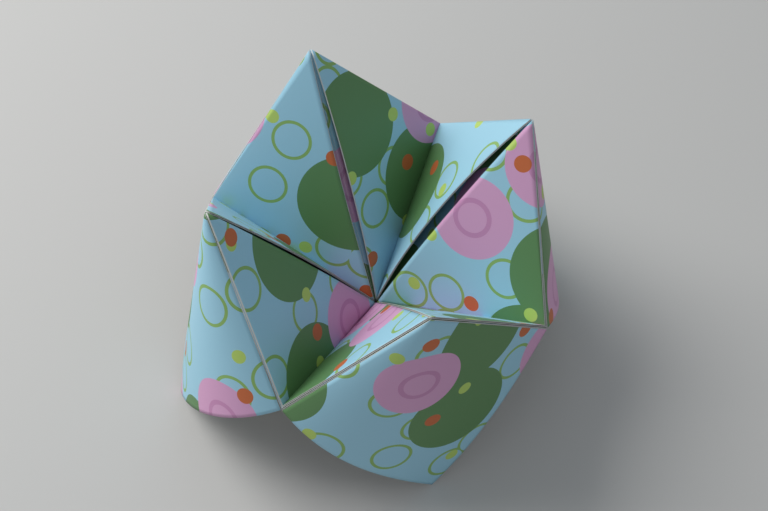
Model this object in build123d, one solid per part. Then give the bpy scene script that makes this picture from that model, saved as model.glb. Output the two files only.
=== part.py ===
from build123d import *
import os
import numpy as np

# Driving dimensions, in millimetres and degrees.
sheet_side = 200.0  # side of the square sheet before it is folded
paper = 0.12  # thickness of the paper
centre_height = 10.2  # the middle of the sheet above the floor
tip_azimuths = (117.0, 26.0, -72.0, -163.0)  # the way each of the four tips points, seen from above
pocket_leans = (0.0, 0.0, 1.0, -1.8)  # how far each pocket's bulge leans towards its second side
face_thickness = 0.42  # three leaves of paper pressed together, with the air between them
lap = 0.15  # how far the faces run past the folds that join them
facet_steps = 4  # of the 48 steps across a pocket, how many make one flat facet

# One quarter of the side is the length from the middle to a valley end.
quarter = sheet_side / 4


def unit(v):
    return v / np.linalg.norm(v)


def heading(azimuth, elevation):
    """The unit direction at these two angles, in radians."""
    level = np.cos(elevation)
    return np.array([level * np.cos(azimuth), level * np.sin(azimuth), np.sin(elevation)])


def valley(tip_a, tip_b):
    """The lower of the two directions that stand 45 degrees from both tips' directions."""
    shared = tip_a @ tip_b
    along = np.cos(np.pi / 4) / (1 + shared) * (tip_a + tip_b)
    across = np.cross(tip_a, tip_b) * np.sqrt((1 - along @ along) / (1 - shared**2))
    return min(along + across, along - across, key=lambda v: v[2])


def bend(start, towards, curvature, lean, steps=48):
    """Directions along a pocket: a path 90 degrees long on the unit sphere, in equal steps.
    Its bend is curvature * (1 + lean * (2 s - 1)), s from 0 to 1."""
    point, tangent = start, towards
    side = np.cross(point, tangent)
    path = [point]
    for i in range(steps):
        turn = curvature * (1 + lean * (2 * (i + 0.5) / steps - 1))
        spin = turn * point + side
        angle = np.linalg.norm(spin) * np.pi / 2 / steps
        axis = unit(spin)
        point, tangent, side = (turned(v, axis, angle) for v in (point, tangent, side))
        path.append(point)
    return np.array(path)


def turned(v, axis, angle):
    """v turned about a unit axis."""
    return v * np.cos(angle) + np.cross(axis, v) * np.sin(angle) + axis * (axis @ v) * (1 - np.cos(angle))


def corners(elevations):
    """The middle, the four tips and the four valley ends. Valley i lies between tips i and i + 1."""
    middle = np.array([0, 0, centre_height])
    ways = [heading(np.radians(a), e) for a, e in zip(tip_azimuths, elevations)]
    tips = [middle + np.sqrt(2) * quarter * w for w in ways]
    valleys = [middle + quarter * valley(ways[i], ways[(i + 1) % 4]) for i in range(4)]
    return middle, tips, valleys


def pocket_path(middle, tip, first, second, curvature, lean, swing):
    """Directions from a tip across its pocket, from the first valley end to the second."""
    start = unit(first - tip)
    goal = unit(second - tip)
    towards = unit(goal - start * (start @ goal))
    out = np.cross(start, towards)
    flip = np.sign(out @ (tip - middle)) or 1.0
    tangent = np.cos(swing) * towards + np.sin(swing) * out * flip
    return bend(start, tangent, -curvature * flip, lean), goal


def misfit(unknowns):
    """How far each pocket misses its second valley end, and each paper corner the floor."""
    middle, tips, valleys = corners(unknowns[:4])
    missed = []
    for i, (curvature, swing) in enumerate(zip(unknowns[4:8], unknowns[8:])):
        path, goal = pocket_path(middle, tips[i], valleys[i - 1], valleys[i], curvature, pocket_leans[i], swing)
        foot = tips[i] + np.sqrt(2) * quarter * path[len(path) // 2]
        missed += [*(path[-1] - goal), foot[2] / sheet_side]
    return np.array(missed)


def settle():
    """Tip elevations, pocket bends and swings that stand the paper on its four corners."""
    unknowns = np.array([1.0] * 8 + [0.9] * 4)
    for _ in range(25):
        now = misfit(unknowns)
        slopes = [(misfit(unknowns + step) - now) / 1e-6 for step in np.eye(12) * 1e-6]
        step = np.linalg.lstsq(np.array(slopes).T, -now, rcond=None)[0]
        unknowns = unknowns + step * min(1, 0.3 / np.abs(step).max())
    return unknowns


def polygon(points):
    return make_face(Polyline(*[Vector(*p) for p in points], close=True)).faces()[0]


def plate(points, up, thickness):
    """A flat sheet of one thickness about an outline of points that lie in one plane."""
    return extrude(polygon(points), thickness / 2, dir=Vector(*up), both=True).solids()[0]


def closed(faces):
    solid = Solid(Shell(faces))
    return solid if solid.volume > 0 else -solid


def face_plate(middle, end, tip, foot):
    """One right-angled face: three leaves of the sheet pressed together."""
    to_middle = unit(middle - end)
    to_tip = unit(tip - end)
    up = unit(np.cross(to_middle, to_tip))
    outline = [end - lap * (to_middle + to_tip), middle + lap * (2.4 * to_middle - to_tip)]
    outline.append(tip + lap * (2.4 * to_tip - to_middle))
    return plate(outline, up, face_thickness)


def pocket(tip, path):
    """The outer flap of a tip: part of a cone whose point is the tip, square when laid flat."""
    last = len(path) - 1
    picks = range(0, last + 1, facet_steps)
    turns = [np.pi / 2 * i / last for i in picks]
    ups = [unit(np.cross(path[i], path[min(i + 1, last)] - path[max(i - 1, 0)])) for i in picks]
    far = [quarter / max(np.cos(a), np.sin(a)) * path[i] for i, a in zip(picks, turns)]
    sides = [[[tip + share * f + half * up for f, up in zip(far, ups)] for share in (0.004, 1)] for half in (-paper / 2, paper / 2)]
    (low_near, low_far), (high_near, high_far) = sides
    faces = []
    for one, other in ((low_near, low_far), (high_near, high_far), (low_near, high_near), (low_far, high_far)):
        for i in range(len(picks) - 1):
            faces.append(polygon([one[i], other[i], other[i + 1]]))
            faces.append(polygon([one[i], other[i + 1], one[i + 1]]))
    for i in (0, -1):
        faces.append(polygon([low_near[i], low_far[i], high_far[i]]))
        faces.append(polygon([low_near[i], high_far[i], high_near[i]]))
    return closed(faces)


def paper_sheet():
    """The eight faces and the four pockets of the settled paper."""
    unknowns = settle()
    middle, tips, ends = corners(unknowns[:4])
    pieces = []
    for i, tip in enumerate(tips):
        path = pocket_path(middle, tip, ends[i - 1], ends[i], unknowns[4 + i], pocket_leans[i], unknowns[8 + i])[0]
        foot = tip + np.sqrt(2) * quarter * path[len(path) // 2]
        pieces += [face_plate(middle, end, tip, foot) for end in (ends[i - 1], ends[i])]
        pieces.append(pocket(tip, path))
    return pieces


if __name__ == "__main__":
    pieces = paper_sheet()
    sheet = pieces[0].fuse(*pieces[1:])
    box = sheet.bounding_box()
    sheet = Pos(-box.center().X, -box.center().Y, -box.min.Z) * sheet
    sheet.label = "folded_sheet"
    os.makedirs("parts", exist_ok=True)
    export_step(sheet, "parts/folded_sheet.step")
    print(len(sheet.solids()), sheet.volume, sheet.bounding_box().size)
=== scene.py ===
# %% [markdown]
# # A paper fortune teller, folded from one printed square
#
# The real object is a sheet of printed craft paper about 0.1 mm thick. Its corners are folded
# to the middle, turned over and folded in again, and the four pockets are opened with fingers.
# Everything here is worked out from the folding itself: the lengths on the flat sheet never
# change, so the folded shape follows from where the four tips point. Sizes are in metres and
# the tips' directions in degrees.

import math

import bpy
import numpy as np
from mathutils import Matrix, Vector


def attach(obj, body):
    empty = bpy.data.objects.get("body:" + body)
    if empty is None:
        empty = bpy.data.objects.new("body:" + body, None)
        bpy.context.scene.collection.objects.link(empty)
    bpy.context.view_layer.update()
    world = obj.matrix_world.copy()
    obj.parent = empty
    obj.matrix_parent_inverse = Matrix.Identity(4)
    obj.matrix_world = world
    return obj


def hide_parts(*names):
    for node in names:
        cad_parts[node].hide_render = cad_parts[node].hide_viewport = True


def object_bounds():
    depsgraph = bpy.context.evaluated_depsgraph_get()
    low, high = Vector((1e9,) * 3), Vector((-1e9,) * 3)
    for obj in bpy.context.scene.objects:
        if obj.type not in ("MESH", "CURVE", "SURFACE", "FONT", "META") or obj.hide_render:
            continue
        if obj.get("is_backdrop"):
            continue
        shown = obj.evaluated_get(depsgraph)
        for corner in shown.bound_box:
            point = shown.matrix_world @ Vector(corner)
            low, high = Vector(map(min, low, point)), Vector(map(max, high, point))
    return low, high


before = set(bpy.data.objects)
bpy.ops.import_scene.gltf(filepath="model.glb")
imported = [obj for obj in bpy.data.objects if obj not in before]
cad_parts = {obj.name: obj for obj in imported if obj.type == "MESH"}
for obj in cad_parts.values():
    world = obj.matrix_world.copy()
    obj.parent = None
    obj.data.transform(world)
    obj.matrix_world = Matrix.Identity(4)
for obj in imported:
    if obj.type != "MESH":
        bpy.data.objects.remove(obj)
cad_low, cad_high = (np.array(corner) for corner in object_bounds())

QUARTER = 0.05  # a quarter of the sheet's side
PAPER = 0.00012  # the paper's thickness
CENTRE_HEIGHT = 0.0102  # the middle of the sheet above the floor
TIP_AZIMUTHS = (117.0, 26.0, -72.0, -163.0)  # the way each tip points, seen from above


# %% [markdown]
# ## The folded shape
#
# The middle of the sheet, the four tips and the four valley ends keep their flat distances:
# a quarter side along a valley, and that times the square root of two along a ridge. A pocket
# is part of a cone whose point is its tip, so it is a path of directions 90 degrees long.

# %% Valleys and turns
def unit(v):
    """v divided by its length."""
    return v / np.linalg.norm(v)


def valley(tip_a, tip_b):
    """The lower direction d with d . tip_a = d . tip_b = cos 45 degrees."""
    shared = tip_a @ tip_b
    along = np.cos(np.pi / 4) / (1 + shared) * (tip_a + tip_b)
    across = np.cross(tip_a, tip_b) * np.sqrt((1 - along @ along) / (1 - shared**2))
    return min(along + across, along - across, key=lambda v: v[2])


def turned(v, axis, angle):
    """v turned about a unit axis: v cos a + (axis x v) sin a + axis (axis . v) (1 - cos a)."""
    across = np.cross(axis, v)
    return v * np.cos(angle) + across * np.sin(angle) + axis * (axis @ v) * (1 - np.cos(angle))


# %% A pocket's directions
POCKET_LEANS = (0.0, 0.0, 1.0, -1.8)  # how far each bulge leans towards its second side
PATH_STEPS = 48  # steps worked out across a pocket


def bend(point, tangent, curvature, lean):
    """Directions on the unit sphere, 90 degrees in all, with bend curvature (1 + lean (2 s - 1))."""
    side = np.cross(point, tangent)
    path = [point]
    for i in range(PATH_STEPS):
        along = 2 * (i + 0.5) / PATH_STEPS - 1
        spin = curvature * (1 + lean * along) * point + side
        angle = np.linalg.norm(spin) * np.pi / 2 / PATH_STEPS
        point, tangent, side = (turned(v, unit(spin), angle) for v in (point, tangent, side))
        path.append(point)
    return np.array(path)


def corners(elevations):
    """The middle, the tips and the valley ends for these tip elevations."""
    middle = np.array([0, 0, CENTRE_HEIGHT])
    azimuths = np.radians(TIP_AZIMUTHS)
    level = np.cos(elevations)
    ways = np.stack([level * np.cos(azimuths), level * np.sin(azimuths), np.sin(elevations)], 1)
    tips = middle + np.sqrt(2) * QUARTER * ways
    ends = [middle + QUARTER * valley(ways[i], ways[(i + 1) % 4]) for i in range(4)]
    return middle, tips, ends


def pocket_path(middle, tip, first, second, curvature, lean, swing):
    """Directions from the tip across its pocket, and where they should end."""
    start, goal = unit(first - tip), unit(second - tip)
    towards = unit(goal - start * (start @ goal))
    out = np.cross(start, towards)
    flip = np.sign(out @ (tip - middle)) or 1.0
    tangent = np.cos(swing) * towards + np.sin(swing) * out * flip
    return bend(start, tangent, -curvature * flip, lean), goal


def pocket_of(i, middle, tips, ends, unknowns):
    """Pocket i: its directions, where they should end, and its paper corner."""
    shape = (unknowns[4 + i], POCKET_LEANS[i], unknowns[8 + i])
    path, goal = pocket_path(middle, tips[i], ends[i - 1], ends[i], *shape)
    return path, goal, tips[i] + np.sqrt(2) * QUARTER * path[len(path) // 2]


# %% [markdown]
# ## Standing on four corners
#
# The real paper rests on the four corners of the sheet. Twelve numbers are free: how steep each
# tip is, how strongly its pocket bends, and which way the pocket sets off. Twelve things have to
# come out right: the two angles at which each pocket meets its second fold, and the height of
# each paper corner, which has to be the floor's.
# Newton's method finds them. Setting the tips by eye would leave a corner in the air.

# %% Settling the paper
FIRST_GUESS = np.array([1.0] * 8 + [0.9] * 4)  # four elevations, four bends, four swings
NEWTON_ROUNDS = 14
NUDGE = 1e-6  # the change that measures a slope
LONGEST_STEP = 0.3  # keeps the early rounds from overshooting


def misfit(unknowns):
    """How far the pockets miss their second folds and the paper corners miss the floor."""
    middle, tips, ends = corners(unknowns[:4])
    missed = []
    for i in range(4):
        path, goal, foot = pocket_of(i, middle, tips, ends, unknowns)
        missed += [*(path[-1] - goal), foot[2] / (4 * QUARTER)]
    return np.array(missed)


def settle():
    """Newton's method on the misfit, so the paper stands on its four corners."""
    unknowns = FIRST_GUESS
    for _ in range(NEWTON_ROUNDS):
        now = misfit(unknowns)
        slopes = [(misfit(unknowns + step) - now) / NUDGE for step in np.eye(12) * NUDGE]
        step = np.linalg.lstsq(np.array(slopes).T, -now, rcond=None)[0]
        unknowns = unknowns + step * min(1, LONGEST_STEP / np.abs(step).max())
    return unknowns


# %% [markdown]
# ## The leaves
#
# Each leaf is a grid over its flat triangle or square. The place on the flat sheet becomes the
# UV map, so the print runs on over the folds as it does on the real paper.

# %% Leaves as grids
LEAF_GAP = 0.0003  # between leaves that lie on each other
FACE_POINTS = 34  # points along each side of a face's grid
POCKET_POINTS = 54  # points along each side of a pocket's grid
rows_3d, rows_uv = [], []


def keep(points, flat, quadrant):
    """Stores one grid, its flat places turned into their quarter of the sheet."""
    c, s = [(1, 0), (0, -1), (-1, 0), (0, 1)][quadrant]
    x, y = flat[..., 0], flat[..., 1]
    rows_3d.append(points)
    rows_uv.append(np.stack([c * x - s * y, s * x + c * y], -1))


def face_leaf(half, above, lift, back, flat_corners, quadrant, flipped):
    """P = end + p to_middle + q to_tip + (above + lift 4 p q / (p + q) / side) up."""
    end, to_middle, to_tip, up = half
    u, s = np.meshgrid(*[np.linspace(0, 1, FACE_POINTS)] * 2, indexing="ij")
    if flipped:
        s = 1 - s
    p = u * (1 - s) * (QUARTER - back)
    q = back + u * s * (QUARTER - back)
    rise = above + lift * 4 * p * q / (p + q + 1e-9) / QUARTER  # the 1e-9 avoids 0 / 0
    points = end + p[..., None] * to_middle + q[..., None] * to_tip + rise[..., None] * up
    corner, middle, tip = (np.array(c) * QUARTER for c in flat_corners)
    p, q = (p / QUARTER)[..., None], (q / QUARTER)[..., None]
    flat = corner + p * (middle - corner) + q * (tip - corner)
    keep(points, flat, quadrant)


def pocket_leaf(tip, path, out, quadrant):
    """P = tip + r d(angle) over the flat square x, y, with r and angle its polar place."""
    x, y = np.meshgrid(*[np.linspace(0, QUARTER, POCKET_POINTS)] * 2, indexing="ij")
    spot = np.arctan2(y, x + 1e-12) / (np.pi / 2) * (len(path) - 1)
    low = np.minimum(spot.astype(int), len(path) - 2)
    part = (spot - low)[..., None]
    points = tip + np.hypot(x, y)[..., None] * (path[low] * (1 - part) + path[low + 1] * part)
    points = points + LEAF_GAP * np.hypot(x, y)[..., None] / QUARTER * out
    keep(points, np.stack([x, y], -1) + QUARTER, quadrant)


# %% [markdown]
# ## Laying out the sheet
#
# Each quarter of the sheet makes one pocket and two inner faces. Three leaves lie on each other
# over a face, and the two upper ones bow away from the ridge, where the slot between the flaps
# stands a little open. Each leaf lies a gap above the one below, so they stay apart on the face.

# %% All the leaves
SLOT_LIFTS = (0.0018, 0.0034, 0.0006, 0.0012)  # how far the upper leaves bow out at the ridge
MIDDLE_LEAF_BACK = 0.0003  # the middle leaf is set back this far from the valley
TOP_LEAF_BACK = 0.0006  # and the top leaf, whose side there is the sheet's own edge, by this

unknowns = settle()
middle, tips, ends = corners(unknowns[:4])
for i, tip in enumerate(tips):
    path, _, foot = pocket_of(i, middle, tips, ends, unknowns)
    pocket_leaf(tip, path, unit(foot - middle), i)
    for j, end in enumerate((ends[i - 1], ends[i])):
        to_middle, to_tip = unit(middle - end), unit(tip - end)
        up = unit(np.cross(to_middle, to_tip))
        up = -up if up @ (foot - middle) > 0 else up
        half = (end, to_middle, to_tip, up)
        # Places on the flat sheet, in quarters of its side: the valley end, the middle of the
        # edge, which folds to the middle, and the place on the edge that folds over the valley end.
        near, folded, outer = ((1, 0), (2, 0), (2, 1)) if j == 0 else ((0, 1), (0, 2), (1, 2))
        lift = SLOT_LIFTS[i]
        face_leaf(half, 0, 0, 0, (near, (0, 0), (1, 1)), i, j == 0)
        face_leaf(half, LEAF_GAP, lift, MIDDLE_LEAF_BACK, (near, folded, (1, 1)), i, j == 1)
        face_leaf(half, 2 * LEAF_GAP, lift, TOP_LEAF_BACK, (outer, folded, (1, 1)), i, j == 0)

# %% [markdown]
# ## One piece of paper
#
# All the leaves go into one mesh, because the real object is one sheet. Joining them along the
# folds would need a curved strip for each. They stay separate grids instead, which meet or nearly
# meet at a fold. Solidify gives them the paper's thickness: the printed side is in front, and the
# white reverse, which lines the pockets, is behind and on the cut edges.

# %% One mesh
vertices = np.concatenate([g.reshape(-1, 3) for g in rows_3d])
places = np.concatenate([g.reshape(-1, 2) for g in rows_uv])
quads, start = [], 0
for g in rows_3d:
    n, m = g.shape[:2]
    at = start + np.arange(n * m).reshape(n, m)
    quads.append(np.stack([at[:-1, :-1], at[1:, :-1], at[1:, 1:], at[:-1, 1:]], -1).reshape(-1, 4))
    start += n * m
quads = np.concatenate(quads)[:, ::-1]
# The sheet is centred over the CAD part, and stands one thickness above its floor.
low, high = vertices.min(0), vertices.max(0)
shift = np.array([*((cad_low + cad_high) / 2 - (low + high) / 2)[:2], cad_low[2] - low[2] + PAPER])
vertices = vertices + shift
mesh = bpy.data.meshes.new("folded_paper")
mesh.from_pydata(vertices.tolist(), [], quads.tolist())
uv = mesh.uv_layers.new(name="flat_sheet")
uv.data.foreach_set("uv", places[quads.ravel()].ravel())
mesh.polygons.foreach_set("use_smooth", np.ones(len(quads), bool))
mesh.update()
paper = bpy.data.objects.new("folded_paper", mesh)
bpy.context.scene.collection.objects.link(paper)
solid = paper.modifiers.new("thickness", "SOLIDIFY")
solid.thickness = PAPER
solid.offset = 0
solid.material_offset = 1
solid.material_offset_rim = 1
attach(paper, "root")
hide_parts("folded_sheet")
print("leaves", len(rows_3d), "vertices", len(vertices))


# %% [markdown]
# ## The print
#
# Flat inks on paper: a pale sky ground, then thin green rings, large dark green discs, pink discs
# with a darker ring in them, and small yellow-green and orange dots. Each is a loose pattern of
# cells on the flat sheet, laid over the inks before it. A picture could be wrapped on instead, but
# a pattern stays sharp at any distance and needs no file.

# %% Inks
def ink(hexa):
    """A colour written as hex, made linear: ((v + 0.055) / 1.055) ** 2.4, or v / 12.92 if dark."""
    values = [int(hexa[i : i + 2], 16) / 255 for i in (0, 2, 4)]
    return (*[v / 12.92 if v <= 0.04045 else ((v + 0.055) / 1.055) ** 2.4 for v in values], 1)


SKY, REVERSE = ink("9FCFE2"), ink("DCDCD8")
# Each ink, its cells to the metre, its inner and outer radius in cells, and its pattern's shift.
MOTIFS = (
    (ink("8DB565"), 60, 0.26, 0.31, (0.4, 0.1, 0)),
    (ink("5F8A56"), 26, 0.0, 0.34, (0.013, 0.02, 0)),
    (ink("D9A3C8"), 24, 0.0, 0.25, (0.7, 0.33, 0)),
    (ink("C98CB6"), 24, 0.09, 0.12, (0.7, 0.33, 0)),
    (ink("B9D46A"), 40, 0.0, 0.07, (0.51, 0.23, 0)),
    (ink("C96A3A"), 34, 0.0, 0.07, (0.21, 0.83, 0)),
)
LOOSENESS = 0.65  # how far each cell's point strays from an even grid


# %% One ink over another
def spots(tree, base, colour, scale, inside, outside, shift_flat):
    """Lays one ink where inside <= distance to the cell's point <= outside, and base elsewhere."""
    nodes, links = tree.nodes, tree.links
    where = nodes.new("ShaderNodeMapping")
    where.inputs["Location"].default_value = shift_flat
    links.new(nodes["flat"].outputs["UV"], where.inputs["Vector"])
    cells = nodes.new("ShaderNodeTexVoronoi")
    cells.voronoi_dimensions = "2D"
    cells.inputs["Scale"].default_value = scale
    cells.inputs["Randomness"].default_value = LOOSENESS
    links.new(where.outputs["Vector"], cells.inputs["Vector"])
    ring = nodes.new("ShaderNodeMath")
    ring.operation = "COMPARE"
    links.new(cells.outputs["Distance"], ring.inputs[0])
    ring.inputs[1].default_value = (inside + outside) / 2
    ring.inputs[2].default_value = (outside - inside) / 2
    mix = nodes.new("ShaderNodeMix")
    mix.data_type = "RGBA"
    links.new(ring.outputs[0], mix.inputs[0])
    links.new(base, mix.inputs[6])
    mix.inputs[7].default_value = colour
    return mix.outputs[2]


# %% [markdown]
# ## The paper's finish
#
# Printed craft paper is satin: it has a broad, soft sheen and a fine tooth of fibres. A noise far
# smaller than the print gives the tooth as a bump. The two sides differ only in their colour.

# %% Paper
SATIN = 0.55
FIBRES = 900  # noise cells to the metre
FIBRE_STRENGTH, FIBRE_DEPTH = 0.12, 0.0001


def paper_material(name, printed):
    """Satin paper with a fine fibre bump: printed on the flat sheet's own map, or plain white."""
    material = bpy.data.materials.new(name)
    material.use_nodes = True
    tree = material.node_tree
    shader = tree.nodes["Principled BSDF"]
    shader.inputs["Roughness"].default_value = SATIN
    fibre = tree.nodes.new("ShaderNodeTexNoise")
    fibre.inputs["Scale"].default_value = FIBRES
    flat = tree.nodes.new("ShaderNodeTexCoord")
    tree.links.new(flat.outputs["Object"], fibre.inputs["Vector"])
    bump = tree.nodes.new("ShaderNodeBump")
    bump.inputs["Strength"].default_value = FIBRE_STRENGTH
    bump.inputs["Distance"].default_value = FIBRE_DEPTH
    tree.links.new(fibre.outputs["Fac"], bump.inputs["Height"])
    tree.links.new(bump.outputs["Normal"], shader.inputs["Normal"])
    if not printed:
        shader.inputs["Base Color"].default_value = REVERSE
        return material
    place = tree.nodes.new("ShaderNodeUVMap")
    place.name = "flat"
    place.uv_map = "flat_sheet"
    ground = tree.nodes.new("ShaderNodeRGB")
    ground.outputs[0].default_value = SKY
    colour = ground.outputs[0]
    for motif in MOTIFS:
        colour = spots(tree, colour, *motif)
    tree.links.new(colour, shader.inputs["Base Color"])
    return material


mesh.materials.append(paper_material("printed_side", True))
mesh.materials.append(paper_material("white_reverse", False))

# %% [markdown]
# ## The floor
#
# A plain pale square, wide enough to fill the view. It is stage, not part of the object.

# %% Floor
FLOOR_HALF = 2  # half of its side
floor_mesh = bpy.data.meshes.new("floor")
around = [(-1, -1), (1, -1), (1, 1), (-1, 1)]
floor_mesh.from_pydata([(x * FLOOR_HALF, y * FLOOR_HALF, 0) for x, y in around], [], [(0, 1, 2, 3)])
floor = bpy.data.objects.new("floor", floor_mesh)
bpy.context.scene.collection.objects.link(floor)
pale = bpy.data.materials.new("pale_floor")
pale.use_nodes = True
pale.node_tree.nodes["Principled BSDF"].inputs["Base Color"].default_value = ink("C9C7C3")
pale.node_tree.nodes["Principled BSDF"].inputs["Roughness"].default_value = 0.9
floor_mesh.materials.append(pale)
floor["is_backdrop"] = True

# %% [markdown]
# ## Room and lamp
#
# A large lamp to the left and a little behind stands for a window. A weak blue-white room fills
# the shadows. One small lamp would cut hard shadows into the mouth.

# %% Room and lamp
ROOM_COLOUR, ROOM_STRENGTH = (0.85, 0.92, 1, 1), 0.38
LAMP_SIDE, LAMP_WATTS = 0.5, 5
LAMP_PLACE = (-0.5, 0.25, 0.55)
LAMP_TURNS = (math.radians(-22), math.radians(-44), 0)
world = bpy.data.worlds.new("room")
bpy.context.scene.world = world
world.use_nodes = True
world.node_tree.nodes["Background"].inputs["Color"].default_value = ROOM_COLOUR
world.node_tree.nodes["Background"].inputs["Strength"].default_value = ROOM_STRENGTH
lamp = bpy.data.lights.new("window", "AREA")
lamp.size = LAMP_SIDE
lamp.energy = LAMP_WATTS
window = bpy.data.objects.new("window", lamp)
window.location = LAMP_PLACE
window.rotation_euler = LAMP_TURNS
bpy.context.scene.collection.objects.link(window)

# %% [markdown]
# ## The camera
#
# It looks down steeply, so that it sees into the open mouth, and is rolled a little. Its distance
# and its aim are in quarters of the sheet's side, so they stay right if the sheet's size changes.

# %% Camera
ELEVATION, ROLL = math.radians(59.2), math.radians(2.46)
AIM_QUARTERS = np.array([0.03, 0.061, 0.6])
CAMERA_QUARTERS = 6.45
CAMERA_LENS_WIDTHS = 1.7  # the focal length, in widths of the sensor
target = AIM_QUARTERS * QUARTER + shift
back = np.array([0, -math.cos(ELEVATION), math.sin(ELEVATION)])
lens = bpy.data.cameras.new("camera")
lens.lens = CAMERA_LENS_WIDTHS * lens.sensor_width
camera = bpy.data.objects.new("camera", lens)
camera.location = target + CAMERA_QUARTERS * QUARTER * back
camera.rotation_euler = (math.radians(90) - ELEVATION, 0, 0)
camera.rotation_mode = "XYZ"
camera.rotation_euler.rotate_axis("Z", ROLL)
bpy.context.scene.collection.objects.link(camera)
bpy.context.scene.camera = camera
bpy.context.scene.view_settings.view_transform = "Standard"
